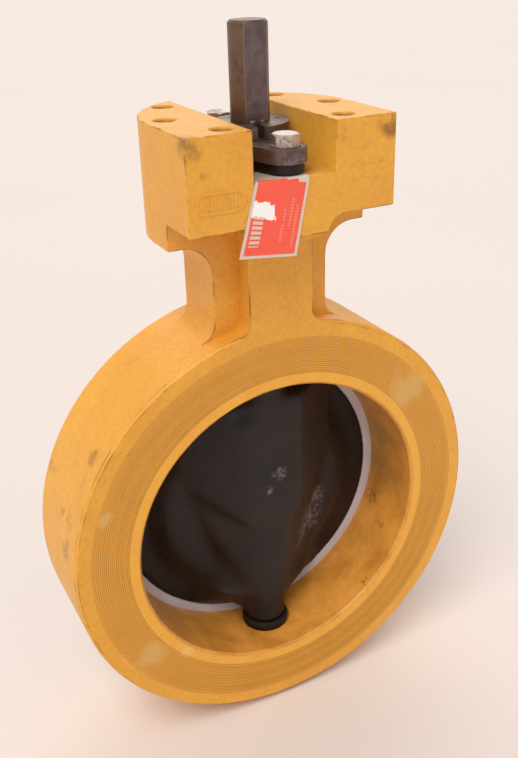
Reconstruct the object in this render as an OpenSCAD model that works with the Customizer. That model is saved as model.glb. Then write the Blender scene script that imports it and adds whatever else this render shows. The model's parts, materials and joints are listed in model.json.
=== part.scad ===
// Wafer butterfly valve with an offset disc, a bare double-D stem and an open gland.
// The pipe runs along Y, the stem stands along Z, and the origin is the middle of the foot's underside.

/* [Body ring] */
// Height of the pipe's centreline above the foot
pipe_h = 110; // [110:1:114]
// Outside diameter of the ring that is clamped between the pipe flanges
ring_d = 216; // [215:1:218]
// Diameter of the port
port_d = 152; // [151:1:153]
// Distance from the stem's axis to the front gasket face
face_front = 26; // [25:0.5:28]
// Distance from the stem's axis to the back gasket face
face_back = 28; // [28:0.5:30]
// Pitch of the grooves turned in the gasket faces
groove_pitch = 0.98; // [0.8:0.02:1.6]
// Depth of those grooves
groove_depth = 0.3; // [0.2:0.05:0.4]

/* [Neck and head] */
// Half width of the neck's web, across the pipe
web_half_w = 28.5; // [27:0.5:30]
// Half thickness of the web, along the pipe
web_half_t = 16; // [15:0.5:17]
// Half width of the middle boss that runs up the neck
boss_half_w = 16; // [15.5:0.5:17]
// Height of the mounting pads above the pipe's centreline
head_top = 198.3; // [196:0.1:200]
// Half width of the head
head_half_w = 48.3; // [48:0.1:50]
// Distance from the stem's axis to the head's flat front
head_front = 40; // [40:0.5:42]
// Half width of the channel between the two pads
channel_half_w = 19; // [18:0.5:20]
// Height of the channel's floor above the pipe's centreline
channel_floor = 177.2; // [176:0.1:178]

/* [Mounting holes] */
// Distance between the corner holes across the pipe
corner_x = 56; // [56:0.5:57]
// Distance between the corner holes along the pipe
corner_y = 61; // [58:0.5:61]
// Distance between the two side holes
side_x = 79; // [76:0.5:80]
// Diameter of the tapped holes
pad_hole_d = 8.5; // [8:0.1:9]
// Depth of the tapped holes
pad_hole_l = 20; // [12:1:24]

/* [Stem and disc] */
// Diameter of the stem
stem_d = 17; // [16.5:0.1:17.2]
// Distance across the stem's two flats
stem_flats = 13.4; // [12.5:0.1:14]
// Height of the stem's top above the pipe's centreline
stem_top = 235; // [225:1:240]
// Radius of the sphere that the disc's edge lies on, about the stem's axis
rim_r = 72.8; // [72.4:0.1:73]
// Distance from the stem's axis to the front of the disc's edge
rim_front = 12.7; // [12.7:0.1:13]
// Distance from the stem's axis to the back of the disc's edge
rim_back = 19; // [18:0.5:19]

/* [Gland] */
// Distance from the stem to each gland bolt
bolt_y = 31; // [30.5:0.5:31]
// Diameter of the gland bolts
bolt_d = 6.2; // [6:0.1:6.35]
// Distance across the flats of the bolt heads
bolt_flats = 11.1; // [10:0.1:11.5]
// Thickness of the gland flange
flange_t = 6.3; // [6:0.1:6.6]
// Height of the gland flange's underside above the pipe's centreline
flange_z = 182.3; // [182:0.1:183]

/* [Foil tag] */
// Width of the tag
tag_w = 24.5; // [20:0.5:26]
// Thickness of the tag
tag_t = 0.6; // [0.4:0.1:0.8]

/* [Hidden] */

$fn = 96;
cast_yellow = [0.88, 0.61, 0.24];
plain_steel = [0.45, 0.43, 0.42];
bright_steel = [0.62, 0.60, 0.58];

ring_r = ring_d / 2;
port_r = port_d / 2;
stem_r = stem_d / 2;

// Gasket faces: the grooves lie between these radii, inside a plain land
groove_in = 82;
groove_out = 100.4;
edge_chamfer = 1.2;

// Seat recess and retainer recess, both turned from the back face
seat_face = 12.4;
seat_r = 84;
retainer_face = 19.1;
retainer_r = 91;
retainer_bore = 72.6;
recess_gap = 0.2;
seat_gap = 0.3;

// Screws that hold the retainer
screw_count = 6;
screw_ring_r = 87.4;
screw_r = 2.2;
screw_head_r = 3.3;
screw_l = 16;

// Neck and head heights above the pipe's centreline
block_under = 159;
flare_under = 147.3;
flare_fillet = 14;
web_fillet = 10;
boss_fillet = 6;
shoulder_fillet = 8;
shoulder_low = 145;
shoulder_high = 152;
head_back_boss = 44;
overlap = 2;

// Foot
foot_half_w = 28;
foot_front = 16;
foot_back = 24;
foot_t = 26;

// Bores on the stem's axis
pocket_r = 13.3;
pocket_z = 76.6;
bearing_r = 11;
bearing_l = 22;
bearing_end_gap = 0.4;
loose_gap = 0.4;
stem_clearance = 0.5;
box_r = 13.5;
box_low = 140;
running_gap = 0.05;
fit_gap = 0.05;
plug_r = 14;
gasket_t = 1;
trunnion_end = 102.5;

// Packing
packing_washer_t = 2;
packing_t = 5;
packing_count = 4;

// Stem ends, and the groove that holds the collar
stem_low = 98.5;
flats_low = 194.4;
collar_r = 17;
collar_low = 188.9;
collar_t = 5.2;
collar_gap_w = 3;
collar_gap_turn = -11;
collar_neck_r = 7.5;

// Disc
dome_r = 50;
dome_front = 5;
dome_foot_r = 60;
disc_back = 21.5;
hub_r = 12.4;
hub_top = 75.3;
low_hub_r = 10.8;
low_hub_end = 71.2;
low_hub_start = 20;
spine_front = 13;
spine_front_half_w = 15.6;
spine_foot_half_w = 45;
spine_low_half_w = 9;
spine_round_front = 67;
spine_round_back = 71;
spine_top = 64;
spine_waist = 20;
spine_low = -8;
buttress_front = 9.5;
buttress_front_half_w = 8;
buttress_foot_half_w = 40;
buttress_round_front = 49;
buttress_low = 75;
buttress_high = 5;
notch_x = 10.8;
notch_w = 8;
notch_y = 5;
notch_z = 55.5;
pin_r = 3;
pin_z = 38;
pin_front = 9.4;
collar_top = 71.5;
lower_collar_r = 12.4;

// Bolts
spacer_inset = 1.1;
spacer_t = 4.1;
washer_t = 0.8;
washer_r = 6.3;
bolt_head_t = 4.3;
bolt_low = 160;
front_bolt_turn = 26;
rear_bolt_turn = 8;
flange_end_r = 9;
flange_mid_r = 17;

// Cast marks on the head
mark_t = 0.3;
mark_root = 0.4;
mark_x = -34;
mark_z = 172;
mark_h = 9;
mark_wall = 1;

// Foil tag: how far its lower corners drop and drift to the left
tag_left = -18.5;
tag_fall_left = 29.5;
tag_fall_right = 33;
tag_drift_left = 7.5;
tag_drift_right = 5.2;
tag_spread = 2.5;
tag_tail_y = -22.5;

// Puts a shape, drawn about the pipe's centreline, at its height above the foot
module at_pipe() {
    translate([0, 0, pipe_h]) children();
}

// Turns a profile of (radius, distance along the pipe) about the pipe's centreline
module about_pipe() {
    rotate([-90, 0, 0]) rotate_extrude($fn = 180) children();
}

// Extrudes an outline in X and Z along the pipe, from y_from to y_to
module along_pipe(y_from, y_to) {
    translate([0, y_to, 0]) rotate([90, 0, 0]) linear_extrude(y_to - y_from) children();
}

// Extrudes an outline in Y and Z across the pipe, half of it each side of the stem
module across_pipe(width) {
    translate([-width / 2, 0, 0]) rotate([90, 0, 90]) linear_extrude(width) children();
}

// A tube on the stem's axis
module tube(r_out, r_in, z_low, height) {
    translate([0, 0, z_low]) difference() {
        cylinder(r = r_out, h = height);
        translate([0, 0, -1]) cylinder(r = r_in, h = height + 2);
    }
}

// Both mirror images of a shape about the stem
module both_sides() {
    children();
    mirror([1, 0, 0]) children();
}

// Radius at which a sphere about the stem's axis meets the plane at distance y
function on_sphere(r, y) = sqrt(r * r - y * y);

// Outline of the V grooves of a gasket face, as (radius, distance) points from r_from outwards
function grooves(r_from, r_to, face, inward) = [
    for (i = [0 : floor((r_to - r_from) / groove_pitch) - 1], half = [0, 1])
        [r_from + (i + half / 2) * groove_pitch, face + half * groove_depth * inward]
];

function reversed(list) = [for (i = [len(list) - 1 : -1 : 0]) list[i]];

// The clamped ring with its port, its two faces and the recesses behind the seat
module ring() {
    back_groove_in = 93;
    about_pipe() polygon(concat(
        [[port_r, -face_front + edge_chamfer], [port_r + edge_chamfer, -face_front]],
        grooves(groove_in, groove_out, -face_front, 1),
        [
            [groove_out, -face_front],
            [ring_r - edge_chamfer, -face_front],
            [ring_r, -face_front + edge_chamfer],
            [ring_r, face_back - edge_chamfer],
            [ring_r - edge_chamfer, face_back],
            [groove_out, face_back]
        ],
        reversed(grooves(back_groove_in, groove_out, face_back, -1)),
        [
            [retainer_r + recess_gap, face_back],
            [retainer_r + recess_gap, retainer_face],
            [seat_r + recess_gap, retainer_face],
            [seat_r + recess_gap, seat_face],
            [port_r, seat_face]
        ]
    ));
}

// Concave corner between an upright face at x and the ring's outside
module ring_corner(x, r) {
    centre_x = x + r;
    centre_z = sqrt(pow(ring_r + r, 2) - pow(centre_x, 2));
    reach = ring_r / (ring_r + r);
    difference() {
        polygon([
            [x - overlap, centre_z],
            [centre_x, centre_z],
            [centre_x * reach, centre_z * reach],
            [centre_x * reach - overlap, centre_z * reach - 3 * overlap],
            [x - overlap, centre_z - r - 4 * overlap]
        ]);
        translate([centre_x, centre_z]) circle(r);
    }
}

// Concave corner under a level face at z, outside an upright face at x
module hanging_corner(x, z, r) {
    difference() {
        translate([x - overlap, z - r]) square([r + overlap, r + overlap]);
        translate([x + r, z - r]) circle(r);
        translate([x - 2 * overlap, z]) square([2 * r + overlap, 2 * overlap]);
    }
}

// Plan of the head: a flat front, straight sides and a round back
module head_plan() {
    translate([-head_half_w, -head_front]) square([2 * head_half_w, head_front]);
    intersection() {
        circle(head_half_w, $fn = 180);
        translate([-60, -overlap]) square([120, 80]);
    }
}

// Web of the neck, spreading into the plate under the head
module web() {
    intersection() {
        along_pipe(-web_half_t, web_half_t) union() {
            translate([-web_half_w, 60]) square([2 * web_half_w, block_under - 60]);
            translate([-head_half_w - overlap, flare_under])
                square([2 * head_half_w + 2 * overlap, block_under + overlap - flare_under]);
            both_sides() hanging_corner(web_half_w, flare_under, flare_fillet);
            both_sides() ring_corner(web_half_w, web_fillet);
        }
        translate([0, 0, 50]) linear_extrude(block_under + overlap - 50) head_plan();
    }
}

// Middle boss around the stem: flush with both gasket faces below, and stepped out to the head above
module boss() {
    intersection() {
        along_pipe(-head_front, head_back_boss) union() {
            translate([-boss_half_w, 90]) square([2 * boss_half_w, block_under + overlap - 90]);
            both_sides() hanging_corner(boss_half_w, block_under, shoulder_fillet);
            both_sides() ring_corner(boss_half_w, boss_fillet);
        }
        across_pipe(4 * boss_half_w) polygon([
            [-face_front, 85],
            [face_back, 85],
            [face_back, shoulder_low],
            [head_back_boss, shoulder_high],
            [head_back_boss, block_under + overlap],
            [-head_front, block_under + overlap],
            [-head_front, shoulder_high],
            [-face_front, shoulder_low]
        ]);
    }
}

// Two mounting blocks joined by the channel's floor
module head() {
    difference() {
        translate([0, 0, block_under]) linear_extrude(head_top - block_under) head_plan();
        translate([-channel_half_w, -80, channel_floor]) cube([2 * channel_half_w, 160, 60]);
    }
}

// Plain bar with round ends, as one flat outline
module round_bar(length, height) {
    square([length, height], center = true);
    translate([-length / 2, 0]) circle(height / 2);
    translate([length / 2, 0]) circle(height / 2);
}

// A small raised rectangle on the head's flat front, from its lower left corner
module mark_bar(x, z, width, height) {
    translate([x, -head_front - mark_t, z]) cube([width, mark_t + mark_root, height]);
}

// Plain raised casting marks on the blocks' front faces
module cast_marks() {
    length = 13;
    translate([mark_x, -head_front + mark_root, mark_z])
        rotate([90, 0, 0]) linear_extrude(mark_t + mark_root) difference() {
            round_bar(length, mark_h);
            round_bar(length, mark_h - 2 * mark_wall);
        }
    for (i = [-2 : 2])
        mark_bar(mark_x + i * 3, mark_z - mark_h / 2 + 2, 1, 5);
    for (i = [0 : 3])
        mark_bar(26 + i * 4.4, mark_z + 7, 2.6, 1.2);
    for (i = [0 : 2])
        mark_bar(27 + i * 5, mark_z + 1, 3.4, 1.2);
}

// A tapped hole with a small countersink, opening upwards at the origin
module tapped_hole(r, depth) {
    translate([0, 0, -depth]) cylinder(r = r, h = depth + 1, $fn = 48);
    translate([0, 0, -1]) cylinder(r1 = r, r2 = r + 1.05, h = 1.05, $fn = 48);
}

// The six tapped holes of the mounting pads
module pad_holes() {
    for (x = [-corner_x / 2, corner_x / 2], y = [-corner_y / 2, corner_y / 2])
        translate([x, y, head_top]) tapped_hole(pad_hole_d / 2, pad_hole_l);
    for (x = [-side_x / 2, side_x / 2])
        translate([x, 0, head_top]) tapped_hole(pad_hole_d / 2, pad_hole_l);
}

// Everything bored on the stem's axis, and the gland bolts' holes beside it
module stem_bores() {
    translate([0, 0, 60]) cylinder(r = pocket_r, h = pocket_z - 60);
    translate([0, 0, -pocket_z]) cylinder(r = pocket_r, h = 16);
    translate([0, 0, pocket_z - 1]) cylinder(r = bearing_r, h = bearing_l + 2);
    translate([0, 0, pocket_z]) cylinder(r = stem_r + stem_clearance, h = box_low - pocket_z + 1);
    translate([0, 0, box_low]) cylinder(r = box_r, h = 60);
    translate([0, 0, -trunnion_end - 1]) cylinder(r = bearing_r, h = trunnion_end - pocket_z + 2);
    translate([0, 0, -pipe_h - 1]) cylinder(r = plug_r, h = pipe_h - trunnion_end + 1);
    for (y = [-bolt_y, bolt_y])
        translate([0, y, bolt_low - 2]) cylinder(r = bolt_d / 2 + fit_gap, h = 40, $fn = 48);
}

// The tapped holes behind the retainer's screws
module screw_holes() {
    for (i = [0 : screw_count - 1])
        rotate([0, (i + 0.5) * 360 / screw_count, 0]) translate([screw_ring_r, 0, 0])
            rotate([-90, 0, 0]) translate([0, 0, face_back - screw_l - 2])
                cylinder(r = screw_r + fit_gap, h = screw_l + 4, $fn = 48);
}

module body() {
    color(cast_yellow) at_pipe() difference() {
        union() {
            ring();
            difference() {
                union() {
                    web();
                    boss();
                    head();
                    cast_marks();
                    translate([-foot_half_w, -foot_front, -pipe_h])
                        cube([2 * foot_half_w, foot_front + foot_back, foot_t]);
                }
                rotate([90, 0, 0]) cylinder(r = groove_out, h = 4 * head_half_w, center = true, $fn = 180);
            }
        }
        stem_bores();
        screw_holes();
        pad_holes();
    }
}

module seat() {
    inner_r = rim_r + seat_gap;
    lip_back = 16.6;
    color([0.93, 0.91, 0.93]) at_pipe() about_pipe() polygon([
        [on_sphere(inner_r, rim_front + 0.2), rim_front + 0.2],
        [port_r, seat_face],
        [seat_r, seat_face],
        [seat_r, retainer_face],
        [78, retainer_face],
        [78, 17.6],
        [on_sphere(inner_r, lip_back) + 1.8, 17],
        [on_sphere(inner_r, lip_back), lip_back],
        [on_sphere(inner_r, 14.8), 14.8]
    ]);
}

module seat_spring_ring() {
    color(bright_steel) at_pipe() about_pipe()
        translate([73.8, 17.75]) square([3.9, retainer_face - 17.8]);
}

module retainer_ring() {
    color(plain_steel) at_pipe() difference() {
        about_pipe() polygon([
            [retainer_bore, retainer_face],
            [retainer_r, retainer_face],
            [retainer_r, face_back - 0.5],
            [retainer_r - 0.5, face_back],
            [retainer_bore + 1.5, face_back],
            [retainer_bore, face_back - 1.5]
        ]);
        for (i = [0 : screw_count - 1])
            rotate([0, (i + 0.5) * 360 / screw_count, 0])
            translate([screw_ring_r, 0, 0]) rotate([-90, 0, 0]) {
                cylinder(r = screw_r + fit_gap, h = 60, $fn = 48);
                translate([0, 0, face_back - screw_head_r + screw_r])
                    cylinder(r1 = screw_r + fit_gap, r2 = screw_head_r + fit_gap,
                             h = screw_head_r - screw_r, $fn = 48);
            }
    }
}

// Flat-headed socket screw, its head's top at the origin and its shank pointing down
module flat_screw() {
    difference() {
        union() {
            translate([0, 0, -screw_l]) cylinder(r = screw_r, h = screw_l - 0.1, $fn = 48);
            translate([0, 0, -screw_head_r + screw_r])
                cylinder(r1 = screw_r, r2 = screw_head_r - 0.1, h = screw_head_r - screw_r - 0.1, $fn = 48);
        }
        translate([0, 0, -1.8]) cylinder(r = 1.45, h = 3, $fn = 6);
    }
}

module retainer_screws() {
    color(bright_steel) at_pipe() for (i = [0 : screw_count - 1])
        rotate([0, (i + 0.5) * 360 / screw_count, 0]) translate([screw_ring_r, face_back, 0])
            rotate([-90, 0, 0]) flat_screw();
}

// Spine of the disc: a flat front that narrows downwards, with broad flanks that slope back to the plate
module spine() {
    intersection() {
        along_pipe(-spine_front, rim_front) polygon([
            [-spine_foot_half_w, spine_top],
            [spine_foot_half_w, spine_top],
            [spine_foot_half_w, spine_waist],
            [spine_low_half_w, spine_low],
            [-spine_low_half_w, spine_low],
            [-spine_foot_half_w, spine_waist]
        ]);
        translate([0, 0, spine_low - 1]) linear_extrude(spine_top - spine_low + 2) polygon([
            [-spine_front_half_w, -spine_front],
            [spine_front_half_w, -spine_front],
            [spine_foot_half_w, dome_front + 1],
            [spine_foot_half_w, rim_front + 1],
            [-spine_foot_half_w, rim_front + 1],
            [-spine_foot_half_w, dome_front + 1]
        ]);
        about_pipe() polygon([
            [0, -spine_front - 1],
            [spine_round_front, -spine_front - 1],
            [spine_round_back, 0],
            [spine_round_back, rim_front],
            [0, rim_front]
        ]);
    }
}

// Buttress that carries the lower end of the disc, widening towards the plate
module buttress() {
    intersection() {
        translate([0, 0, -buttress_low]) linear_extrude(buttress_low - buttress_high) polygon([
            [-buttress_front_half_w, -buttress_front],
            [buttress_front_half_w, -buttress_front],
            [buttress_foot_half_w, rim_front],
            [-buttress_foot_half_w, rim_front]
        ]);
        about_pipe() polygon([
            [0, -buttress_front - 1],
            [buttress_round_front, -buttress_front - 1],
            [spine_round_back, rim_front],
            [0, rim_front]
        ]);
    }
}

// Turned form of the disc: an edge on the sphere, a raised middle on the stem's side
module disc_plate() {
    edge = [
        for (i = [0 : 6])
            let (y = rim_front + i * (rim_back - rim_front) / 6)
            [on_sphere(rim_r, y), y]
    ];
    about_pipe() polygon(concat(
        [[0, dome_front - 1.5], [dome_r * 0.6, dome_front - 0.8], [dome_r, dome_front], [dome_foot_r, rim_front]],
        edge,
        [[dome_foot_r + 4, disc_back], [0, disc_back]]
    ));
}

module disc() {
    color([0.16, 0.12, 0.11]) at_pipe() difference() {
        union() {
            disc_plate();
            spine();
            buttress();
            translate([0, 0, spine_top - 6]) cylinder(r = hub_r, h = hub_top - spine_top + 6);
            translate([0, 0, -low_hub_end]) cylinder(r = low_hub_r, h = low_hub_end - low_hub_start);
        }
        translate([-notch_x - notch_w, -spine_front - 1, notch_z]) cube([notch_w, notch_y, 20]);
        for (z = [-pin_z, pin_z])
            translate([0, -pin_front, z])
                rotate([-90, 0, 0]) cylinder(r = pin_r + fit_gap, h = port_r, $fn = 48);
        translate([0, 0, -pipe_h]) cylinder(r = stem_r + fit_gap, h = 2 * pipe_h);
    }
}

module disc_pins() {
    color(bright_steel) at_pipe() for (z = [-pin_z, pin_z])
        translate([0, -pin_front + 0.1, z]) rotate([-90, 0, 0])
            cylinder(r = pin_r, h = pin_front + disc_back - 0.4, $fn = 48);
}

module stem() {
    color(plain_steel) at_pipe() difference() {
        union() {
            translate([0, 0, -stem_low]) cylinder(r = stem_r, h = stem_low + collar_low - 0.1);
            translate([0, 0, collar_low - 1]) cylinder(r = collar_neck_r, h = collar_t + 2);
            intersection() {
                union() {
                    translate([0, 0, collar_low + collar_t + 0.1])
                        cylinder(r = stem_r, h = stem_top - collar_low - collar_t - 1.1);
                    translate([0, 0, stem_top - 1]) cylinder(r1 = stem_r, r2 = stem_r - 1, h = 1);
                }
                translate([-stem_r - 1, -stem_flats / 2, flats_low - 1])
                    cube([stem_d + 2, stem_flats, stem_top]);
            }
        }
        for (z = [-pin_z, pin_z])
            translate([0, -stem_d, z])
                rotate([-90, 0, 0]) cylinder(r = pin_r + fit_gap, h = 2 * stem_d, $fn = 48);
    }
}

module upper_bearing() {
    color([0.62, 0.47, 0.26]) at_pipe()
        tube(bearing_r - fit_gap, stem_r + running_gap,
             pocket_z + bearing_end_gap, bearing_l - bearing_end_gap);
}

module lower_bearing() {
    color([0.62, 0.47, 0.26]) at_pipe()
        tube(bearing_r - fit_gap, stem_r + running_gap,
             -pocket_z - bearing_l - bearing_end_gap, bearing_l);
}

module upper_thrust_washer() {
    color(bright_steel) at_pipe()
        tube(hub_r, stem_r + loose_gap, hub_top + seat_gap, pocket_z - hub_top - seat_gap);
}

module lower_thrust_collar() {
    color([0.18, 0.14, 0.13]) at_pipe()
        tube(lower_collar_r, stem_r + loose_gap, -pocket_z, pocket_z - collar_top);
}

module packing_washer() {
    color(bright_steel) at_pipe() tube(box_r - fit_gap, stem_r + loose_gap, box_low, packing_washer_t);
}

// One square packing ring, counted up from the packing washer
module packing_ring(i) {
    color([0.85, 0.83, 0.80]) at_pipe()
        tube(box_r - fit_gap, stem_r + running_gap,
             box_low + packing_washer_t + (i - 1) * packing_t, packing_t);
}

module gland_follower() {
    low = box_low + packing_washer_t + packing_count * packing_t;
    color(plain_steel) at_pipe() tube(box_r - 0.1, stem_r + loose_gap, low, flange_z - spacer_t - low);
}

// Oval plan of the gland flange, or of the same oval drawn in by a margin
module flange_plan(inset = 0) {
    mid_r = flange_mid_r - inset;
    end_r = flange_end_r - inset;
    side = sqrt(pow(bolt_y, 2) - pow(mid_r - end_r, 2));
    touch_x = (mid_r / bolt_y) * side;
    touch_y = mid_r * (mid_r - end_r) / bolt_y;
    end_x = (end_r / bolt_y) * side;
    end_y = bolt_y + end_r * (mid_r - end_r) / bolt_y;
    circle(mid_r);
    for (y = [-bolt_y, bolt_y])
        translate([0, y]) circle(end_r);
    polygon([
        [touch_x, -touch_y], [touch_x, touch_y], [end_x, end_y], [-end_x, end_y],
        [-touch_x, touch_y], [-touch_x, -touch_y], [-end_x, -end_y], [end_x, -end_y]
    ]);
}

// The stem's hole and the two bolt holes through a gland plate
module gland_holes(z, thickness) {
    translate([0, 0, z - 1]) cylinder(r = stem_r + loose_gap, h = thickness + 2);
    for (y = [-bolt_y, bolt_y])
        translate([0, y, z - 1]) cylinder(r = bolt_d / 2 + seat_gap, h = thickness + 2, $fn = 48);
}

// Dark spacer between the follower and the flange, the flange's shape drawn in a little
module gland_spacer() {
    color([0.10, 0.08, 0.08]) at_pipe() difference() {
        translate([0, 0, flange_z - spacer_t]) linear_extrude(spacer_t) flange_plan(spacer_inset);
        gland_holes(flange_z - spacer_t, spacer_t);
    }
}

module gland_flange() {
    color([0.36, 0.30, 0.29]) at_pipe() difference() {
        translate([0, 0, flange_z]) linear_extrude(flange_t) flange_plan();
        gland_holes(flange_z, flange_t);
    }
}

// Hexagon-headed bolt with a turned crown, standing with the underside of its head at the origin
module hex_bolt() {
    corner_r = bolt_flats / sqrt(3);
    translate([0, 0, bolt_low - flange_z - flange_t - washer_t])
        cylinder(r = bolt_d / 2, h = flange_z + flange_t + washer_t - bolt_low + 0.5, $fn = 48);
    intersection() {
        cylinder(r = corner_r, h = bolt_head_t, $fn = 6);
        union() {
            cylinder(r = corner_r + 0.5, h = bolt_head_t - 1, $fn = 48);
            translate([0, 0, bolt_head_t - 1])
                cylinder(r1 = corner_r + 0.5, r2 = bolt_flats / 2 - 0.4, h = 1, $fn = 48);
        }
    }
}

module gland_bolts() {
    head_z = flange_z + flange_t + washer_t;
    color(bright_steel) at_pipe() {
        translate([0, -bolt_y, head_z]) rotate([0, 0, front_bolt_turn]) hex_bolt();
        translate([0, bolt_y, head_z]) rotate([0, 0, rear_bolt_turn]) hex_bolt();
    }
}

module bolt_washers() {
    color(plain_steel) at_pipe() for (y = [-bolt_y, bolt_y])
        translate([0, y, 0]) tube(washer_r, bolt_d / 2 + 0.2, flange_z + flange_t, washer_t);
}

module stem_collar() {
    color([0.40, 0.36, 0.34]) at_pipe() difference() {
        tube(collar_r, collar_neck_r + fit_gap, collar_low, collar_t);
        rotate([0, 0, collar_gap_turn]) translate([-collar_gap_w / 2, -collar_r - 1, collar_low - 1])
            cube([collar_gap_w, collar_r + 1, collar_t + 2]);
        for (turn = [-8, 172])
            rotate([0, 0, turn]) translate([12.3, 0, collar_low + collar_t - 2.5])
                cylinder(r = 0.9, h = 4, $fn = 32);
    }
}

module plug_gasket() {
    color([0.30, 0.30, 0.32]) at_pipe() tube(plug_r - fit_gap, 9, -trunnion_end - gasket_t, gasket_t);
}

module bottom_plug() {
    plug_top = trunnion_end + gasket_t;
    color(plain_steel) at_pipe() difference() {
        translate([0, 0, -pipe_h]) cylinder(r = plug_r - fit_gap, h = pipe_h - plug_top);
        for (x = [-8, 8])
            translate([x, 0, -pipe_h - 1]) cylinder(r = 1.6, h = 4, $fn = 48);
    }
}

module tag() {
    floor_z = channel_floor + 0.1;
    hang_y = -head_front - mark_t - tag_t;
    left_x = tag_left;
    color([0.85, 0.12, 0.10]) at_pipe() {
        difference() {
            translate([0, 0, floor_z]) linear_extrude(tag_t) polygon([
                [left_x, hang_y],
                [left_x + tag_w, hang_y],
                [left_x + tag_w + tag_spread, tag_tail_y],
                [left_x + tag_spread, tag_tail_y]
            ]);
            translate([0, -bolt_y, floor_z - 1]) cylinder(r = bolt_d / 2 + 0.3, h = 4, $fn = 48);
        }
        along_pipe(hang_y, hang_y + tag_t) polygon([
            [left_x, floor_z + tag_t],
            [left_x + tag_w, floor_z + tag_t],
            [left_x + tag_w - tag_drift_right, floor_z - tag_fall_right],
            [left_x - tag_drift_left, floor_z - tag_fall_left]
        ]);
    }
}

body();
seat();
seat_spring_ring();
retainer_ring();
retainer_screws();
disc();
stem();
disc_pins();
upper_bearing();
lower_bearing();
upper_thrust_washer();
lower_thrust_collar();
packing_washer();
packing_ring(1);  // packing_ring_1
packing_ring(2);  // packing_ring_2
packing_ring(3);  // packing_ring_3
packing_ring(4);  // packing_ring_4
gland_follower();
gland_spacer();
gland_flange();
gland_bolts();
bolt_washers();
stem_collar();
bottom_plug();
plug_gasket();
tag();
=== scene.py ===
"""Looks of a wafer butterfly valve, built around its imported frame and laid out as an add-on."""

import json
import math

import bmesh
import bpy
from bpy.props import FloatProperty, FloatVectorProperty, IntProperty, PointerProperty
from bpy.types import Operator, Panel, PropertyGroup
from mathutils import Matrix, Vector, noise


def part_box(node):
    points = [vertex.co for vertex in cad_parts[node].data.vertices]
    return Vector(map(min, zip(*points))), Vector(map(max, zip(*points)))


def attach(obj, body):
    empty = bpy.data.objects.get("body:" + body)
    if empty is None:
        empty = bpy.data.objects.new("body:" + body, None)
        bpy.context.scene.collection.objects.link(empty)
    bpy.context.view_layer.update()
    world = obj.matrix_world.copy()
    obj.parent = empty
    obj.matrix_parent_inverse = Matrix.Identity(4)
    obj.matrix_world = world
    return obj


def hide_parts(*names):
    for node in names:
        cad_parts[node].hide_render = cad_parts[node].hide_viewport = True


bl_info = {
    "name": "Wafer Butterfly Valve",
    "version": (1, 0, 0),
    "blender": (4, 5, 0),
    "location": "View3D > Sidebar > Valve",
    "description": "Finishes the butterfly valve's castings, steel parts, tag and stage",
    "category": "Object",
}

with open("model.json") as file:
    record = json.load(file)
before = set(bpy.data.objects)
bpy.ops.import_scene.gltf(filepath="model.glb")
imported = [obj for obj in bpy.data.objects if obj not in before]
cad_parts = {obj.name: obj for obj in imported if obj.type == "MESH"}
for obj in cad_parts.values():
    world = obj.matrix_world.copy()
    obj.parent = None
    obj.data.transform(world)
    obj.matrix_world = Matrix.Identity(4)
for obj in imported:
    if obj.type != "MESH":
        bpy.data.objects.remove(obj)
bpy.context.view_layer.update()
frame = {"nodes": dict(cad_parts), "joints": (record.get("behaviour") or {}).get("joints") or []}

MM = 0.001
BODY = "valve_body"
TURNING = "disc_and_stem"
PIPE_CENTRE = Vector(frame["joints"][0]["pos_m"])
WELD = 0.001 * MM

# How sharp a fold stays hard, and how flat two faces are when they count as one
HARD_FROM = math.radians(38)
FLAT_WITHIN = math.radians(0.2)

# Sizes of the casting. y is measured along the pipe from the stem's axis
RING_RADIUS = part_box("body")[1].x
PORT_RADIUS = 76 * MM
FACE_NEAR = 24 * MM
FACE_FAR = 29 * MM
GROOVE_IN = 82 * MM
GROOVE_OUT = 100.4 * MM
GROOVE_PITCH = 0.98 * MM
STEM_RADIUS = 8.5 * MM
STEM_BORE = 14.5 * MM
HEAD_TOP = PIPE_CENTRE.z + 198.3 * MM
HEAD_FRONT = -40 * MM
SHELF_TOP = PIPE_CENTRE.z + 177.2 * MM

# Upright holes in the head: their middles in millimetres from the stem's axis, and the radius
# within which the edges around them stay sharp
PAD_HOLES = ((-28, -30.5), (28, -30.5), (-28, 30.5), (28, 30.5), (-39.5, 0), (39.5, 0))
BOLT_HOLES = ((0, -31), (0, 31))
PAD_HOLE_RADIUS = 4.25 * MM
PAD_HOLE_DEPTH = 21 * MM
HOLE_REACH = 5.5 * MM

# Sockets of a Mix node that mixes colours
SHARE, UNDER, OVER, MIXED = 0, 6, 7, 2

# Typical indices of refraction
ENAMEL_IOR = 1.5
COATING_IOR = 1.4
FLUOROPOLYMER_IOR = 1.37


def linear(text):
    """Turns an sRGB hex colour into linear red, green, blue and alpha."""
    parts = [int(text[i : i + 2], 16) / 255 for i in (1, 3, 5)]
    return tuple(c / 12.92 if c <= 0.04045 else ((c + 0.055) / 1.055) ** 2.4 for c in parts) + (1.0,)


def per_mm(size):
    """Texture scale that gives features of this size, in millimetres."""
    return 1000 / size


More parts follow.
